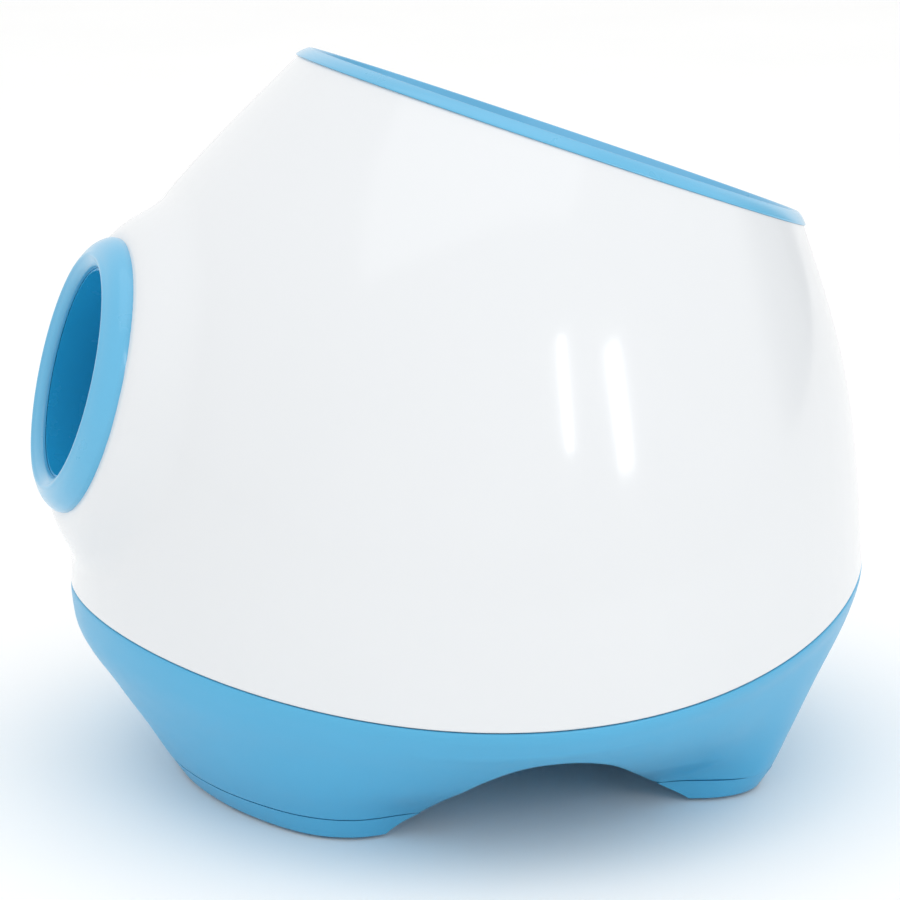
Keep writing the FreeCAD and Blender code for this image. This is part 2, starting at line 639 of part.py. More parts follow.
out("motor_screws", Part.makeCompound([L(screw(V(s * WHEEL_X + d, N1, WHEEL_A), AX * -1, 1.4, 9, 2.6, 1.8))
                                       for s in (-1, 1) for d in (-14, 14)]))

# ---------------------------------------------------------------- electronics and power
BZ = 62.0
pcb = box(-45, 45, -46, 14, BZ, BZ + 1.6)
PC = [(-40, -41), (40, -41), (-40, 9), (40, 9)]
for (x, y) in PC:
    pcb = pcb.cut(cyl(1.6, 10, V(x, y, BZ - 4), EZ))
out("main_board", pcb)
so = []
for (x, y) in PC:
    z0 = 33.5 if y < 0 else 45.5
    so.append(tube(1.3, 3.0, BZ - z0, V(x, y, z0), EZ))
out("board_standoffs", Part.makeCompound(so))
out("board_screws", Part.makeCompound([screw(V(x, y, BZ + 1.6), EZ * -1, 1.2, 8, 2.5, 1.8) for (x, y) in PC]))
bp = [cyl(6, 18, V(-15, 0, BZ + 1.6), EZ), cyl(6, 18, V(0, 0, BZ + 1.6), EZ),
      box(12, 27, -8, 8, BZ + 1.6, BZ + 17), box(-8, 8, -28, -14, BZ + 1.6, BZ + 4),
      box(-40, -20, -14, -6, BZ + 1.6, BZ + 11), box(20, 40, -34, -24, BZ + 1.6, BZ + 11)]
out("board_parts", Part.makeCompound(bp))
out("buzzer", cyl(11, 9, V(-26, -30, BZ + 1.6), EZ).cut(cyl(2, 3, V(-26, -30, BZ + 7.6), EZ)))
pack = box(-55, 55, 80, 122, 13, 73)
pack = pack.makeFillet(4.0, [e for e in pack.Edges if abs(e.tangentAt(e.FirstParameter).z) > 0.9])
out("battery_pack", pack)
strap = box(-57, 57, 95, 107, 30, 75).cut(box(-55.2, 55.2, 90, 110, 20, 73.2))
out("battery_strap", strap)

# ---------------------------------------------------------------- control panel on the back
def back_cone(off):
    """the slightly tapering back of the body round the panel, off mm inside it"""
    return Part.makeCone(176.9 - off, 169.3 - off, 60.0, V(0, 0, 120.0), EZ)


# the panel is a shallow recessed tray: its rim lies flush in the shell, its face is flat
pan = stadium(48, 22, 22, PAN_Y - 16, 190).common(back_cone(0.3))
pan = pan.cut(stadium(45.2, 19.2, 19.2, PAN_Y, 200))
pan = pan.cut(stadium(45.6, 19.6, 19.6, 130, PAN_Y - 3.0))
for x in (POWER_X, RANGE_X):
    pan = pan.cut(cyl(BTN_R + 0.3, 10, V(x, PAN_Y - 6, PAN_Z), EY))
LZ = [-9, -3, 3, 9]
for z in LZ:
    pan = pan.cut(cyl(1.6, 10, V(LENS_X, PAN_Y - 6, PAN_Z + z), EY))
pan = pan.cut(cyl(5.4, 10, V(JACK_X, PAN_Y - 6, PAN_Z), EY))
# a flange behind the shell's wall holds it
flange = stadium(50.5, 24.5, 24.5, 140, 190).cut(stadium(46.5, 20.5, 20.5, 130, 200)).common(back_cone(3.2)).cut(back_cone(5.4))
pan = pan.fuse(flange)
PSC = [(-19, -14), (22, 14)]
for (x, z) in PSC:
    pan = pan.fuse(tube(1.2, 2.8, 8.0, V(x, PAN_Y - 11.0, PAN_Z + z), EY))
out("control_panel", biggest(pan))
for nm, x in (("power_button", POWER_X), ("range_button", RANGE_X)):
    b = revolve([(0, 0), (BTN_R + 1.4, 0), (BTN_R + 1.4, 1.5), (BTN_R, 1.5), (BTN_R, 6.2), (BTN_R - 1.2, 7.4), (0, 7.0)])
    b.rotate(V(0, 0, 0), EX, -90)
    out(nm, b.translated(V(x, PAN_Y - 3.0 - 1.7, PAN_Z)))
out("indicator_lenses", Part.makeCompound([cyl(1.5, 3.3, V(LENS_X, PAN_Y - 3.0, PAN_Z + z), EY).fuse(
    cyl(2.2, 1.2, V(LENS_X, PAN_Y - 4.2, PAN_Z + z), EY)) for z in LZ]))
PB_Y = PAN_Y - 11.0
pb = box(-42, 22, PB_Y - 1.6, PB_Y, PAN_Z - 17, PAN_Z + 17).common(stadium(44, 18, 18, PB_Y - 9, PB_Y + 7))
for (x, z) in PSC:
    pb = pb.cut(cyl(1.4, 10, V(x, PB_Y - 9, PAN_Z + z), EY))
out("panel_board", pb)
out("panel_screws", Part.makeCompound([screw(V(x, PB_Y - 1.6, PAN_Z + z), EY, 1.1, 7, 2.2, 1.4) for (x, z) in PSC]))
out("tact_switches", Part.makeCompound([box(x - 3, x + 3, PB_Y, PB_Y + 3.4, PAN_Z - 3, PAN_Z + 3).fuse(
    cyl(1.7, 1.4, V(x, PB_Y + 3.4, PAN_Z), EY)) for x in (POWER_X, RANGE_X)]))
jk = cyl(5.1, 12.5, V(JACK_X, PAN_Y - 12.5, PAN_Z), EY).fuse(box(JACK_X - 7, JACK_X + 7, PAN_Y - 14.5, PAN_Y - 3.0, PAN_Z - 6.5, PAN_Z + 6.5))
jk = jk.cut(cyl(2.9, 10.0, V(JACK_X, PAN_Y - 9.5, PAN_Z), EY))
out("charge_jack", jk)
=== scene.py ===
import json
from math import sin, cos, pi, radians, degrees, hypot, asin, atan2, sqrt, tan
import bpy
import bmesh
import numpy as np
from mathutils import Vector, Matrix


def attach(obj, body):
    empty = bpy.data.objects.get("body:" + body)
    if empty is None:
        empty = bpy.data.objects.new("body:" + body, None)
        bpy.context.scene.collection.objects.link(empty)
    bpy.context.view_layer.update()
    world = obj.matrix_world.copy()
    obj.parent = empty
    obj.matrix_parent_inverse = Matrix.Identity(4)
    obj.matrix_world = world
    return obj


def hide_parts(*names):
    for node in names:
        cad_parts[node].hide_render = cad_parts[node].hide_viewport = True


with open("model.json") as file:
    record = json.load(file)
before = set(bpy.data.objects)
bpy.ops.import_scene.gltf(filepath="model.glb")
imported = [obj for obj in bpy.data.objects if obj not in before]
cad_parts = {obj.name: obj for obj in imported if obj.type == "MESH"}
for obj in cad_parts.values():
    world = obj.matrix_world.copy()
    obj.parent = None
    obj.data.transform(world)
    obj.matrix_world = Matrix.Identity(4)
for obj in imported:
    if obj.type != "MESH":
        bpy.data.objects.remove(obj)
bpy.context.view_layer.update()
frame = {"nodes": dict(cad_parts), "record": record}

N = frame["nodes"]
S = 0.001            # the drawing below is in millimetres, the scene in metres
SHIFT_Y = 7.8

# ------------------------------------------------------------------ the body's surface, as in the construction
R = 178.0
SEAM = (0.3709, 0.0383, 0.150)
TOP_C = Vector((0, 0.2324 * R, 1.5716 * R))
TILT = radians(19.71)
UP = Vector((0, sin(TILT), cos(TILT)))
RIM_R = 0.6652 * R
TOP_R = 0.9766 * RIM_R
BETA = radians(15.67)
MV = Vector((0, -cos(BETA), sin(BETA)))
NV = Vector((0, sin(BETA), cos(BETA)))
BC = Vector((0, -0.9563 * R, 1.0411 * R))
RING_R = 0.3375 * R
K1 = (0.6455, 0.47, 0.4643)
K2 = (0.7304, 0.45, 0.3131)
LEAN0 = (-0.0297, -0.0428, -0.0559)
LEAN1 = (radians(90 - 42.3), 0.5411, 0.3123)
WEIGHT_F = 1.55
AZ = [0, 15, 30, 44, 52, 60, 75, 90, 105, 120, 131, 145, 160, 180]
LEVELS = [
    (0.00, [.745, .745, .755, .765, .735, .655, .575, .555, .575, .665, .790, .765, .730, .715]),
    (0.06, [.785, .783, .786, .790, .765, .695, .615, .595, .615, .690, .830, .800, .765, .750]),
    (0.15, [.840, .840, .842, .850, .840, .810, .760, .745, .760, .810, .875, .850, .820, .810]),
    (0.25, [.905, .905, .905, .910, .910, .905, .895, .890, .895, .905, .920, .900, .885, .880]),
]
ARCH = [(-.42, -.06), (-.40, .00), (-.36, .032), (-.29, .074), (-.25, .125), (-.21, .180), (-.15, .230),
        (-.08, .246), (0, .238), (.08, .210), (.15, .166), (.25, .090), (.32, .042), (.38, .006), (.42, -.06)]
PARTING = 10.7


def blend3(v, p):
    f, s, b = v
    return (f + 2 * s + b) / 4 + (f - b) / 2 * cos(p) + (f - 2 * s + b) / 4 * cos(2 * p)


def seam_z(y):
    q = y / R
    return R * (SEAM[0] + SEAM[1] * q + SEAM[2] * q * q)


def body_point(phi, t):
    s = Vector((R * sin(phi), -R * cos(phi), 0))
    s.z = seam_z(s.y)
    top = TOP_C + Vector((TOP_R * sin(phi), -TOP_R * cos(phi) * cos(TILT), TOP_R * cos(phi) * sin(TILT)))
    er = Vector((sin(phi), -cos(phi), 0))
    ez = Vector((0, 0, 1))
    l0, l1 = blend3(LEAN0, phi), blend3(LEAN1, phi)
    p1 = s + (er * sin(l0) + ez * cos(l0)) * (blend3(K1, phi) * R)
    p2 = top - (ez * cos(l1) - er * sin(l1)) * (blend3(K2, phi) * R)
    w = blend3((WEIGHT_F, 1.0, 1.0), phi)
    b0, b1, b2, b3 = (1 - t) ** 3, 3 * (1 - t) ** 2 * t * w, 3 * (1 - t) * t * t * w, t ** 3
    return (s * b0 + p1 * b1 + p2 * b2 + top * b3) / (b0 + b1 + b2 + b3)


def barrel_coords(p):
    r = p - BC
    return r.x, r.dot(NV), r.dot(MV)


def seat_table():
    pts = []
    for i in range(161):
        phi = radians(-50 + 100.0 * i / 160)
        for j in range(121):
            x, n, a = barrel_coords(body_point(phi, j / 120.0))
            rho = hypot(x, n)
            if 45 < rho < 75 and a > -60:
                pts.append((degrees(atan2(x, n)) % 360, rho, a))
    tab = []
    for k in range(36):
        sw = sa = 0.0
        for (q, rho, a) in pts:
            d = (q - k * 10.0 + 180) % 360 - 180
            if abs(d) < 9 and abs(rho - RING_R) < 5:
                w = 1.0 / (0.3 + d * d * 0.2 + (rho - RING_R) ** 2)
                sw += w
                sa += w * a
        tab.append(sa / sw)
    # a smooth periodic series through the table
    co = []
    for m in range(5):
        c = 2.0 / 36 * sum(tab[k] * cos(m * k * pi / 18) for k in range(36))
        co.append(c * (0.5 if m == 0 else 1.0))
    return co


SEAT = seat_table()


def seat_height(ang):
    return sum(c * cos(m * radians(ang)) for m, c in enumerate(SEAT))


def shell_point(phi, t):
    p = body_point(phi, t)
    x, n, a = barrel_coords(p)
    if a < -60:
        return p
    rho = hypot(x, n)
    s = (rho - RING_R) / 28.0
    if s >= 1:
        return p
    w = 1.0 if s <= 0 else (1 - s) ** 3 * (1 + 3 * s + 6 * s * s)
    # the seat is sunk a little under the ring, so that the ring's own edge is the line that shows
    k = min(1.0, max(0.0, (RING_R + 4.0 - rho) / 5.0))
    return p - MV * (seat_height(degrees(atan2(x, n))) * w + 0.8 * k * k * (3 - 2 * k))


def catmull(xs, ys, x):
    n = len(xs)
    i = 0
    while i < n - 2 and x > xs[i + 1]:
        i += 1
    h = xs[i + 1] - xs[i]

    def slope(k):
        if k == 0 or k == n - 1:
            return 0.0
        return (ys[k + 1] - ys[k - 1]) / (xs[k + 1] - xs[k - 1])
    u = (x - xs[i]) / h
    m0, m1 = slope(i) * h, slope(i + 1) * h
    return ((2 * u ** 3 - 3 * u * u + 1) * ys[i] + (u ** 3 - 2 * u * u + u) * m0 +
            (3 * u * u - 2 * u ** 3) * ys[i + 1] + (u ** 3 - u * u) * m1)


def base_r(phi, z):
    """radius of the base's outer surface at height z"""
    a = abs(degrees(atan2(sin(phi), cos(phi))))
    zs = seam_z(-R * cos(phi))
    zc = zs - 0.07 * R
    hs = [l[0] * R for l in LEVELS] + [zc, zs]
    rs = [R * catmull(AZ, l[1], a) for l in LEVELS] + [R * (0.955 + 0.04 * cos(phi) ** 2), R]
    if z <= hs[0]:
        return rs[0]
    if z >= hs[-1]:
        return rs[-1]
    # monotone cubic through the heights
    d = [(rs[i + 1] - rs[i]) / (hs[i + 1] - hs[i]) for i in range(len(hs) - 1)]
    m = [d[0]] + [0.0 if d[i - 1] * d[i] <= 0 else 2 * d[i - 1] * d[i] / (d[i - 1] + d[i]) for i in range(1, len(d))] + [0.0]
    i = 0
    while z > hs[i + 1]:
        i += 1
    h = hs[i + 1] - hs[i]
    u = (z - hs[i]) / h
    return ((2 * u ** 3 - 3 * u * u + 1) * rs[i] + (u ** 3 - 2 * u * u + u) * m[i] * h +
            (3 * u * u - 2 * u ** 3) * rs[i + 1] + (u ** 3 - u * u) * m[i + 1] * h)


def arch_z(y):
    q = y / R
    if q <= ARCH[0][0] or q >= ARCH[-1][0]:
        return -50.0
    return R * catmull([a for a, _ in ARCH], [b for _, b in ARCH], q)


def base_point(phi, z):
    r = base_r(phi, z)
    return Vector((r * sin(phi), -r * cos(phi), z))


# ------------------------------------------------------------------ materials
def mat(name, color, rough=0.35, spec=0.5, coat=0.0, coat_rough=0.05, metal=0.0, bump=0.02, bump_scale=900.0,
        vary=0.03, vary_scale=14.0, sub=0.0, dark=None, transmission=0.0, rough_var=0.06):
    m = bpy.data.materials.new(name)
    m.use_nodes = True
    nt = m.node_tree
    for n in list(nt.nodes):
        nt.nodes.remove(n)
    out = nt.nodes.new("ShaderNodeOutputMaterial")
    b = nt.nodes.new("ShaderNodeBsdfPrincipled")
    nt.links.new(b.outputs["BSDF"], out.inputs["Surface"])
    tc = nt.nodes.new("ShaderNodeTexCoord")
    # slow colour drift of the moulding
    n1 = nt.nodes.new("ShaderNodeTexNoise")
    n1.inputs["Scale"].default_value = vary_scale
    n1.inputs["Detail"].default_value = 3.0
    nt.links.new(tc.outputs["Object"], n1.inputs["Vector"])
    cr = nt.nodes.new("ShaderNodeValToRGB")
    lo = dark if dark else tuple(max(0.0, c * (1 - vary)) for c in color)
    hi = tuple(min(1.0, c * (1 + vary)) for c in color)
    cr.color_ramp.elements[0].position = 0.3
    cr.color_ramp.elements[1].position = 0.7
    cr.color_ramp.elements[0].color = (*lo, 1)
    cr.color_ramp.elements[1].color = (*hi, 1)
    nt.links.new(n1.outputs["Fac"], cr.inputs["Fac"])
    nt.links.new(cr.outputs["Color"], b.inputs["Base Color"])
    # roughness variation
    n2 = nt.nodes.new("ShaderNodeTexNoise")
    n2.inputs["Scale"].default_value = vary_scale * 4
    n2.inputs["Detail"].default_value = 4.0
    nt.links.new(tc.outputs["Object"], n2.inputs["Vector"])
    mr = nt.nodes.new("ShaderNodeMapRange")
    mr.inputs["From Min"].default_value = 0.3
    mr.inputs["From Max"].default_value = 0.7
    mr.inputs["To Min"].default_value = max(0.02, rough - rough_var / 2)
    mr.inputs["To Max"].default_value = min(1.0, rough + rough_var / 2)
    nt.links.new(n2.outputs["Fac"], mr.inputs["Value"])
    nt.links.new(mr.outputs["Result"], b.inputs["Roughness"])
    # fine moulded surface
    if bump > 0:
        n3 = nt.nodes.new("ShaderNodeTexNoise")
        n3.inputs["Scale"].default_value = bump_scale
        n3.inputs["Detail"].default_value = 2.0
        nt.links.new(tc.outputs["Object"], n3.inputs["Vector"])
        bp = nt.nodes.new("ShaderNodeBump")
        bp.inputs["Strength"].default_value = bump
        bp.inputs["Distance"].default_value = 0.0004
        nt.links.new(n3.outputs["Fac"], bp.inputs["Height"])
        nt.links.new(bp.outputs["Normal"], b.inputs["Normal"])
    b.inputs["Metallic"].default_value = metal
    b.inputs["Specular IOR Level"].default_value = spec
    b.inputs["Coat Weight"].default_value = coat
    b.inputs["Coat Roughness"].default_value = coat_rough
    b.inputs["Subsurface Weight"].default_value = sub
    b.inputs["Transmission Weight"].default_value = transmission
    return m


M = {
    "shell_white": mat("shell_white_gloss", (0.745, 0.765, 0.785), rough=0.13, coat=0.35, coat_rough=0.09, bump=0.01, bump_scale=260, vary=0.008, vary_scale=6, rough_var=0.03),
    "sky_blue": mat("sky_blue_satin", (0.078, 0.405, 0.66), rough=0.36, coat=0.0, bump=0.05, bump_scale=1400, vary=0.03, vary_scale=10),
    "light_blue": mat("light_blue_trim", (0.10, 0.43, 0.68), rough=0.30, coat=0.6, coat_rough=0.10, bump=0.03, bump_scale=1200, vary=0.03, vary_scale=14),
    "funnel_blue": mat("funnel_blue_smooth", (0.028, 0.245, 0.50), rough=0.28, coat=0.1, bump=0.02, bump_scale=1000, vary=0.04, vary_scale=12),
    "barrel_blue": mat("barrel_blue_smooth", (0.018, 0.35, 0.66), rough=0.26, coat=0.1, bump=0.02, bump_scale=1000, vary=0.05, vary_scale=18),
    "grey_plastic": mat("grey_nylon", (0.10, 0.105, 0.115), rough=0.55, bump=0.10, bump_scale=1500, vary=0.08, vary_scale=25),
    "dark_plastic": mat("dark_nylon", (0.018, 0.018, 0.021), rough=0.5, bump=0.12, bump_scale=1600, vary=0.15, vary_scale=25),
    "natural_plastic": mat("natural_nylon", (0.62, 0.62, 0.58), rough=0.45, bump=0.06, bump_scale=1400, vary=0.04, vary_scale=25, sub=0.05),
    "rubber_black": mat("foot_rubber", (0.012, 0.012, 0.012), rough=0.8, spec=0.3, bump=0.25, bump_scale=1800, vary=0.2, vary_scale=40),
    "tyre_grey": mat("wheel_rubber", (0.035, 0.035, 0.038), rough=0.85, spec=0.3, bump=0.35, bump_scale=700, vary=0.2, vary_scale=60),
    "motor_steel": mat("motor_can", (0.55, 0.56, 0.58), rough=0.32, metal=1.0, bump=0.03, bump_scale=600, vary=0.05, vary_scale=30),
    "shaft_steel": mat("ground_steel", (0.62, 0.63, 0.65), rough=0.2, metal=1.0, bump=0.02, bump_scale=900, vary=0.04, vary_scale=60),
    "screw_steel": mat("zinc_steel", (0.48, 0.48, 0.47), rough=0.36, metal=1.0, bump=0.05, bump_scale=900, vary=0.1, vary_scale=90),
    "board_green": mat("solder_mask", (0.012, 0.12, 0.045), rough=0.3, coat=0.3, bump=0.04, bump_scale=700, vary=0.2, vary_scale=120),
    "battery_wrap": mat("battery_wrap", (0.02, 0.035, 0.09), rough=0.25, coat=0.2, bump=0.08, bump_scale=160, vary=0.15, vary_scale=20),
    "strap_fabric": mat("strap_weave", (0.02, 0.02, 0.022), rough=0.9, bump=0.5, bump_scale=900, vary=0.3, vary_scale=300),
    "lens_clear": mat("lens_tinted", (0.55, 0.85, 0.62), rough=0.12, bump=0.01, bump_scale=500, vary=0.05, vary_scale=200, transmission=0.35),
    "button_grey": mat("button_pale", (0.62, 0.66, 0.70), rough=0.33, coat=0.1, bump=0.05, bump_scale=1500, vary=0.03, vary_scale=40),
}
slot_of = {s["node"]: s["material_slot"] for s in frame["record"]["subparts"]}
for name, ob in N.items():
    m = M[slot_of[name]]
    ob.data.materials.clear()
    ob.data.materials.append(m)


# ------------------------------------------------------------------ mesh helpers
def mm(v):
    return Vector((v[0] * S, (v[1] + SHIFT_Y) * S, v[2] * S))


def make(name, verts, faces, material, body, nodes, smooth=True):
    me = bpy.data.meshes.new(name)
    me.from_pydata([mm(v) for v in verts], [], faces)
    me.validate()
    bm = bmesh.new()
    bm.from_mesh(me)
    bmesh.ops.recalc_face_normals(bm, faces=bm.faces)
    bm.to_mesh(me)
    bm.free()
    for p in me.polygons:
        p.use_smooth = smooth
    me.materials.append(material)
    ob = bpy.data.objects.new(name, me)
    bpy.context.scene.collection.objects.link(ob)
    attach(ob, body)
    if nodes:
        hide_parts(*nodes)
    return ob


def sharp_by_angle(ob, deg=35.0):
    me = ob.data
    bm = bmesh.new()
    bm.from_mesh(me)
    lim = radians(deg)
    for e in bm.edges:
        if len(e.link_faces) == 2:
            e.smooth = e.calc_face_angle(0.0) < lim
    bm.to_mesh(me)
    bm.free()


def grid_faces(nu, nv, wrap_u, keep=None):
    f = []
    for i in range(nu if wrap_u else nu - 1):
        for j in range(nv - 1):
            a, b = i * nv + j, ((i + 1) % nu) * nv + j
            q = (a, b, b + 1, a + 1)
            if keep is None or keep(q):
                f.append(q)
    return f


# ------------------------------------------------------------------ white upper shell
def build_upper_shell():
    nphi, nt = 420, 176
    phis = [2 * pi * i / nphi for i in range(nphi)]
    rows = []
    # the shell stops 3.5 mm under the rim plane; find t there by bisection
    grid = []
    for p in phis:
        lo, hi = 0.9, 1.0
        for _ in range(24):
            m = (lo + hi) / 2
            h = (shell_point(p, m) - TOP_C).dot(UP)
            if h < -3.45:
                lo = m
            else:
                hi = m
        te = lo
        # a small rounded step inward at the seam, then the wall
        col = [shell_point(p, te * j / (nt - 1)) for j in range(nt)]
        grid.append(col)

    def normal(i, j):
        a = grid[(i + 1) % nphi][j] - grid[i - 1][j]
        b = grid[i][min(nt - 1, j + 1)] - grid[i][max(0, j - 1)]
        n = a.cross(b)
        n.normalize()
        er = Vector((sin(phis[i]), -cos(phis[i]), 0))
        return n if n.dot(er) > 0 else -n
    nrm = [[normal(i, j) for j in range(nt)] for i in range(nphi)]

    # meridian runs: inner top .. outer top, outer down to the seam lip, inner up
    edge = 0.7
    cols = []
    for i in range(nphi):
        c = []
        er = Vector((sin(phis[i]), -cos(phis[i]), 0))
        # seam end: outer surface with a small radius, shadow gap above the base
        s0 = grid[i][0]
        c.append(s0 - er * 2.9 + Vector((0, 0, 0.25)))
        c.append(s0 - er * 0.9 + Vector((0, 0, 0.25)))
        c.append(s0 - er * 0.32 + Vector((0, 0, 0.40)))
        c.append(s0 - er * 0.06 + Vector((0, 0, 0.85)))
        c.append(s0 + (grid[i][1] - s0) * 0.6)
        for j in range(1, nt):
            c.append(grid[i][j])
        top = grid[i][nt - 1]
        c.append(top - nrm[i][nt - 1] * 2.9)
        for j in range(nt - 2, 0, -3):
            c.append(grid[i][j] - nrm[i][j] * 2.9)
        cols.append(c)
    nv = len(cols[0])
    verts = [v for c in cols for v in c]

    def hole(v):
        x, n, a = barrel_coords(v)
        if a > -22 and hypot(x, n) < 54.5:
            return True
        if v.y > 120:
            dx = max(0.0, abs(v.x) - 26.0)
            if hypot(dx, v.z - 150.0) < 21.9:
                return True
        return False
    gone = [hole(v) for v in verts]
    faces = []
    for i in range(nphi):
        for j in range(nv):
            j2 = (j + 1) % nv
            q = (i * nv + j, ((i + 1) % nphi) * nv + j, ((i + 1) % nphi) * nv + j2, i * nv + j2)
            if not any(gone[k] for k in q):
                faces.append(q)
    used = sorted(set(k for q in faces for k in q))
    re = {k: n for n, k in enumerate(used)}
    verts = [verts[k] for k in used]
    faces = [tuple(re[k] for k in q) for q in faces]
    me_name = "upper_shell_skin"
    ob = make(me_name, verts, faces, M["shell_white"], "body", ["upper_shell"])
    # tie the outer and inner skins round each opening
    bm = bmesh.new()
    bm.from_mesh(ob.data)
    bm.edges.ensure_lookup_table()
    open_e = [e for e in bm.edges if e.is_boundary]
    for v in set(v for e in open_e for v in e.verts):
        p = v.co / S
        p.y -= SHIFT_Y
        if p.y < 0:
            x, n, a = barrel_coords(p)
            rho = hypot(x, n)
            k = 54.5 / rho
            q = BC + Vector((x * k, 0, 0)) + NV * (n * k) + MV * a
        else:
            cx = max(-26.0, min(26.0, p.x))
            d = Vector((p.x - cx, 0, p.z - 150.0))
            d = d * (22.25 / d.length)
            q = Vector((cx + d.x, p.y, 150.0 + d.z))
        v.co = mm(q)
    groups = {}
    bmesh.ops.remove_doubles(bm, verts=bm.verts, dist=1e-7)
    open_e = [e for e in bm.edges if e.is_boundary]
    for side in (-1, 1):
        es = [e for e in open_e if (e.verts[0].co.y < 0) == (side < 0)]
        if es:
            try:
                bmesh.ops.bridge_loops(bm, edges=es)
            except Exception as ex:
                print("bridge", side, ex)
    bmesh.ops.recalc_face_normals(bm, faces=bm.faces)
    for f in bm.faces:
        f.smooth = True
    bm.to_mesh(ob.data)
    bm.free()
    sharp_by_angle(ob, 50)
    return ob


# ------------------------------------------------------------------ blue base shell
def build_base():
    nphi = 432
    top_gap = 0.0
    rows = 30
    cols = []
    edges = []
    for i in range(nphi):
        p = 2 * pi * i / nphi
        zs = seam_z(-R * cos(p)) - 0.15
        # lower edge: the parting line, or where the arch cuts the side
        lo, hi = PARTING, zs
        q = base_point(p, PARTING)
        if arch_z(q.y) <= PARTING:
            zl = PARTING
        else:
            for _ in range(30):
                m = (lo + hi) / 2
                if arch_z(base_point(p, m).y) > m:
                    lo = m
                else:
                    hi = m
            zl = hi
        cut = zl > PARTING + 0.01
        edges.append((p, zl, cut))
        er = Vector((sin(p), -cos(p), 0))
        r0 = base_r(p, zs)
        c = [Vector(((r0 - 3.0) * sin(p), -(r0 - 3.0) * cos(p), zs)), Vector(((r0 - 1.0) * sin(p), -(r0 - 1.0) * cos(p), zs)),
             Vector(((r0 - 0.35) * sin(p), -(r0 - 0.35) * cos(p), zs - 0.1)), Vector(((r0 - 0.08) * sin(p), -(r0 - 0.08) * cos(p), zs - 0.45))]
        rad = 2.6 if cut else 0.5
        z1 = zs - 1.0
        z0 = zl + rad
        for j in range(rows):
            u = j / (rows - 1)
            c.append(base_point(p, z1 + (z0 - z1) * u))
        # rounded lower edge
        a = c[-1]
        for ang in (22, 45, 68, 90):
            g = radians(ang)
            v = base_point(p, zl + rad * (1 - sin(g)))
            inn = rad * 0.9 * (1 - cos(g))
            c.append(Vector((v.x - er.x * inn, v.y - er.y * inn, v.z)))
        # underside: run in 3 mm (wall) for the parting line; the ceiling for the arch
        last = c[-1]
        c.append(last - er * 2.2)
        cols.append(c)
    nv = len(cols[0])
    verts = [v for c in cols for v in c]
    faces = grid_faces(nphi, nv, True)
    # arch ceiling: a strip right across, joining the two cut edges
    left = [i for i, (p, z, c) in enumerate(edges) if c and sin(p) < 0]
    right = [i for i, (p, z, c) in enumerate(edges) if c and sin(p) > 0]
    right.sort(key=lambda i: edges[i][0])
    left.sort(key=lambda i: -edges[i][0])
    n = min(len(left), len(right))
    right, left = right[:n], left[:n]
    nx = 16
    idx = []
    for a, b in zip(right, left):
        va = verts[a * nv + nv - 1]
        vb = verts[b * nv + nv - 1]
        row = [a * nv + nv - 1]
        for k in range(1, nx):
            u = k / nx
            v = va.lerp(vb, u)
            z = arch_z(v.y)
            w = min(1.0, min(u, 1 - u) * 8)
            v.z = v.z * (1 - w) + z * w
            row.append(len(verts))
            verts.append(v)
        row.append(b * nv + nv - 1)
        idx.append(row)
    for r in range(len(idx) - 1):
        for k in range(nx):
            faces.append((idx[r][k], idx[r][k + 1], idx[r + 1][k + 1], idx[r + 1][k]))
    ob = make("base_shell_skin", verts, faces, M["sky_blue"], "body", ["base_shell"])
    md = ob.modifiers.new("wall", "SOLIDIFY")
    md.thickness = 0.0012
    md.offset = -1.0
    bpy.context.view_layer.objects.active = ob
    sharp_by_angle(ob, 60)
    return ob


# ------------------------------------------------------------------ blue funnel, smooth inside and out
BOWL = [(0.0, 39.0), (0.12, 50.0), (0.25, 62.0), (0.4, 76.5), (0.55, 88.0), (0.7, 96.8), (0.85, 104.0), (1.0, 109.2)]


def build_funnel():
    lo = Vector((0, 50.7, 208.0))
    hi = TOP_C + UP * -6.2
    ez = Vector((0, 0, 1))
    xs, ys = [f for f, _ in BOWL], [r for _, r in BOWL]
    dl = [(ys[i + 1] - ys[i]) / (xs[i + 1] - xs[i]) for i in range(len(xs) - 1)]
    ml = [dl[0]] + [2 * dl[i - 1] * dl[i] / (dl[i - 1] + dl[i]) for i in range(1, len(dl))] + [dl[-1]]

    def radius(f):
        i = min(len(xs) - 2, max(k for k in range(len(xs)) if xs[k] <= f + 1e-12))
        h = xs[i + 1] - xs[i]
        u = (f - xs[i]) / h
        return ((2 * u ** 3 - 3 * u * u + 1) * ys[i] + (u ** 3 - 2 * u * u + u) * ml[i] * h +
                (3 * u * u - 2 * u ** 3) * ys[i + 1] + (u ** 3 - u * u) * ml[i + 1] * h)
    nu, nf = 192, 56
    prof = [(lo - ez * 2.8, 38.9, ez)]
    for k in range(nf + 1):
        f = k / nf
        n = (ez * (1 - f) + UP * f).normalized()
        prof.append((lo + (hi - lo) * f, radius(f) - 0.08, n))
    prof_in = [(c, r - 2.84, n) for c, r, n in reversed(prof)]
    rings = prof + prof_in
    verts = []
    for c, r, n in rings:
        ey = Vector((0, n.z, -n.y))
        for i in range(nu):
            q = 2 * pi * i / nu
            verts.append(c + Vector((1, 0, 0)) * (r * cos(q)) + ey * (r * sin(q)))
    m = len(rings)
    faces = []
    for j in range(m):
        j2 = (j + 1) % m
        for i in range(nu):
            i2 = (i + 1) % nu
            faces.append((j * nu + i, j * nu + i2, j2 * nu + i2, j2 * nu + i))
    ob = make("funnel_skin", verts, faces, M["funnel_blue"], "body", ["funnel_dish"])
    sharp_by_angle(ob, 40)
    return ob


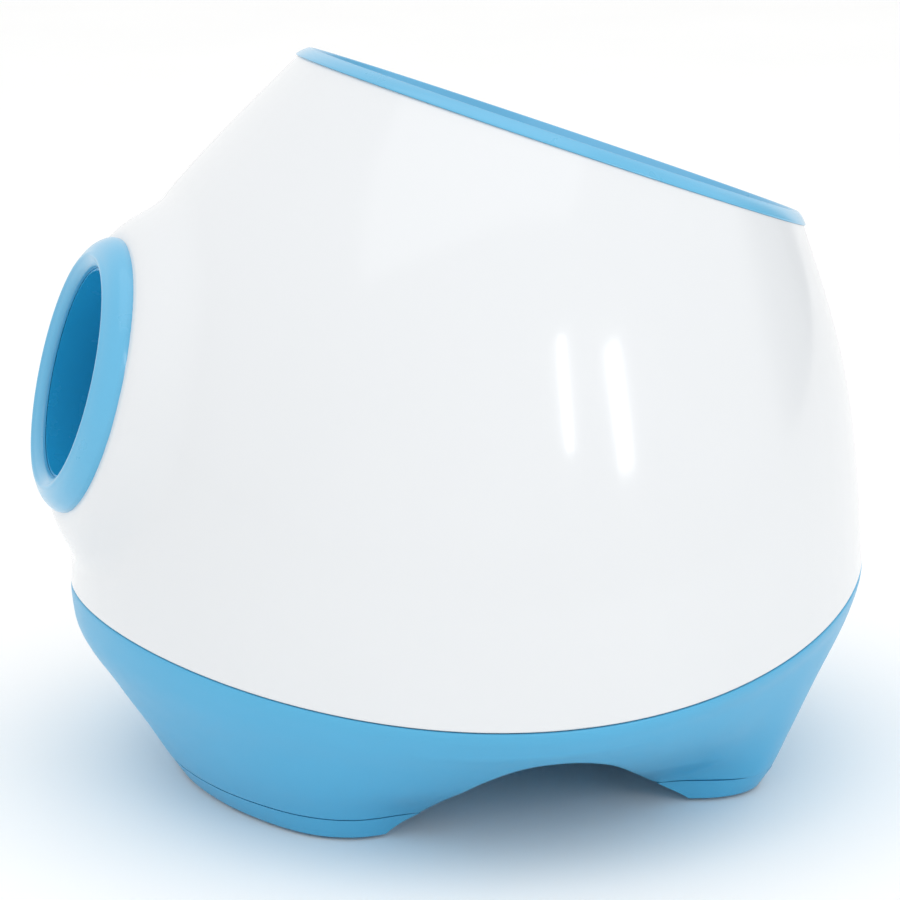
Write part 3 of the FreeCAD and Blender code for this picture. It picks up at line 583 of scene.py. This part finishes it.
# ------------------------------------------------------------------ ring and rim, turned smooth
def turned(name, prof, place, material, node, n=288, sharp=38):
    verts = []
    for r, a in prof:
        for i in range(n):
            q = 2 * pi * i / n
            verts.append(place(r * sin(q), r * cos(q), a))
    m = len(prof)
    faces = []
    for j in range(m):
        j2 = (j + 1) % m
        for i in range(n):
            i2 = (i + 1) % n
            faces.append((j * n + i, j * n + i2, j2 * n + i2, j2 * n + i))
    ob = make(name, verts, faces, material, "body", [node])
    sharp_by_angle(ob, sharp)
    return ob


def arc(p0, pm, p1, k=6):
    """points of the quadratic curve from p0 to p1 that passes through pm"""
    c = (2 * pm[0] - (p0[0] + p1[0]) / 2, 2 * pm[1] - (p0[1] + p1[1]) / 2)
    return [((1 - u) ** 2 * p0[0] + 2 * u * (1 - u) * c[0] + u * u * p1[0],
             (1 - u) ** 2 * p0[1] + 2 * u * (1 - u) * c[1] + u * u * p1[1]) for u in [i / k for i in range(k + 1)]]


def build_ring_and_rim():
    ring = [(51.7, -1.0), (60.1, -1.0), (60.1, 1.4)] + arc((60.05, 1.7), (57.0, 6.3), (52.4, 9.3), 9) + \
        arc((51.9, 9.75), (50.9, 10.05), (50.0, 9.75), 5) + arc((49.4, 9.2), (47.3, 8.0), (46.0, 6.5), 6) + \
        [(45.8, 5.9), (45.8, 4.95), (48.25, 4.95), (48.25, -7.9), (51.7, -7.9)]
    turned("nozzle_ring_skin", ring, lambda x, n, a: BC + Vector((x, 0, 0)) + NV * n + MV * a,
           M["light_blue"], "nozzle_ring")
    rim = [(118.35, -3.35), (118.35, -2.9)] + arc((118.2, -2.6), (116.3, -0.55), (114.3, 1.0), 6) + \
        arc((114.0, 1.2), (113.5, 1.45), (113.0, 1.2), 4) + [(112.6, 0.6), (109.8, -5.6), (109.65, -6.2), (109.65, -9.9),
                                                            (111.35, -9.9), (111.35, -3.35)]
    rv = Vector((0, cos(TILT), -sin(TILT)))
    turned("top_rim_skin", rim, lambda x, n, a: TOP_C + Vector((x, 0, 0)) + rv * n + UP * a,
           M["light_blue"], "top_rim")


# ------------------------------------------------------------------ camera and light
C = Vector((5.65233749 * R + 222.73, -1.90151454 * R - 62.69 + SHIFT_Y, 2.10925226 * R + 84.41)) * S
caz, cel = atan2(0.30554323, -0.92713305) + 0.0082, asin(-0.21695077) - 0.0251
fw = Vector((cos(caz) * cos(cel), sin(caz) * cos(cel), sin(cel)))
rt = fw.cross(Vector((0, 0, 1))).normalized()
up = rt.cross(fw)
roll = -0.00342 - 0.0019
rt2 = rt * cos(roll) + up * sin(roll)
up2 = up * cos(roll) - rt * sin(roll)
cam_data = bpy.data.cameras.new("camera")
cam_data.sensor_fit = "HORIZONTAL"
cam_data.sensor_width = 36.0
cam_data.lens = 2396.5 / 900 * 36.0 * 1.2363
cam_data.clip_start = 0.05
cam_data.clip_end = 100.0
cam = bpy.data.objects.new("camera", cam_data)
bpy.context.scene.collection.objects.link(cam)
rot = Matrix((rt2, up2, -fw)).transposed()
cam.matrix_world = Matrix.Translation(C) @ rot.to_4x4()
bpy.context.scene.camera = cam

fme = bpy.data.meshes.new("floor")
fs = 40.0
fme.from_pydata([(-fs, -fs, 0), (fs, -fs, 0), (fs, fs, 0), (-fs, fs, 0)], [], [(0, 1, 2, 3)])
floor = bpy.data.objects.new("floor", fme)
bpy.context.scene.collection.objects.link(floor)
fmat = mat("floor_paper", (0.965, 0.965, 0.96), rough=0.7, spec=0.2, bump=0.1, bump_scale=300, vary=0.006, vary_scale=3)
fme.materials.append(fmat)

w = bpy.data.worlds.new("studio")
bpy.context.scene.world = w
w.use_nodes = True
bg = w.node_tree.nodes["Background"]
bg.inputs["Color"].default_value = (1.0, 1.0, 1.0, 1)
bg.inputs["Strength"].default_value = 1.02
# the studio is white all round, with one soft grey flag low at the back that the glossy shell picks up
wn = w.node_tree
wtc = wn.nodes.new("ShaderNodeTexCoord")
dot = wn.nodes.new("ShaderNodeVectorMath")
dot.operation = "DOT_PRODUCT"
dot.inputs[1].default_value = (cos(radians(106)), sin(radians(106)), 0.05)
wr = wn.nodes.new("ShaderNodeValToRGB")
wr.color_ramp.interpolation = "EASE"
wr.color_ramp.elements[0].position = 0.90
wr.color_ramp.elements[0].color = (1, 1, 1, 1)
wr.color_ramp.elements[1].position = 0.985
wr.color_ramp.elements[1].color = (0.42, 0.44, 0.46, 1)
wn.links.new(wtc.outputs["Generated"], dot.inputs[0])
wn.links.new(dot.outputs["Value"], wr.inputs["Fac"])
wn.links.new(wr.outputs["Color"], bg.inputs["Color"])


def aim(o, target):
    o.rotation_euler = (Vector(target) - o.location).to_track_quat("-Z", "Y").to_euler()


def area(name, loc, target, sx, sy, power, color=(1, 1, 1)):
    d = bpy.data.lights.new(name, "AREA")
    d.shape = "RECTANGLE"
    d.size, d.size_y = sx, sy
    d.energy = power
    d.color = color
    o = bpy.data.objects.new(name, d)
    bpy.context.scene.collection.objects.link(o)
    o.location = loc
    aim(o, target)
    return o


def far_dir(az, el, dist, base):
    a, e = radians(az), radians(el)
    return Vector(base) + Vector((cos(a) * cos(e), sin(a) * cos(e), sin(e))) * dist


mid = (0.15, 0.0, 0.20)
area("top_soft", (0.3, -0.1, 2.4), (0, 0, 0.1), 2.4, 2.4, 9)
area("strip_a", far_dir(14.5, 21.5, 1.9, mid), mid, 0.055, 0.60, 1.2)
area("strip_b", far_dir(30.4, 16.5, 1.9, mid), mid, 0.14, 0.58, 1.7)

vs = bpy.context.scene.view_settings
vs.view_transform = "Standard"
vs.look = "None"

build_upper_shell()
build_base()
build_funnel()
build_ring_and_rim()
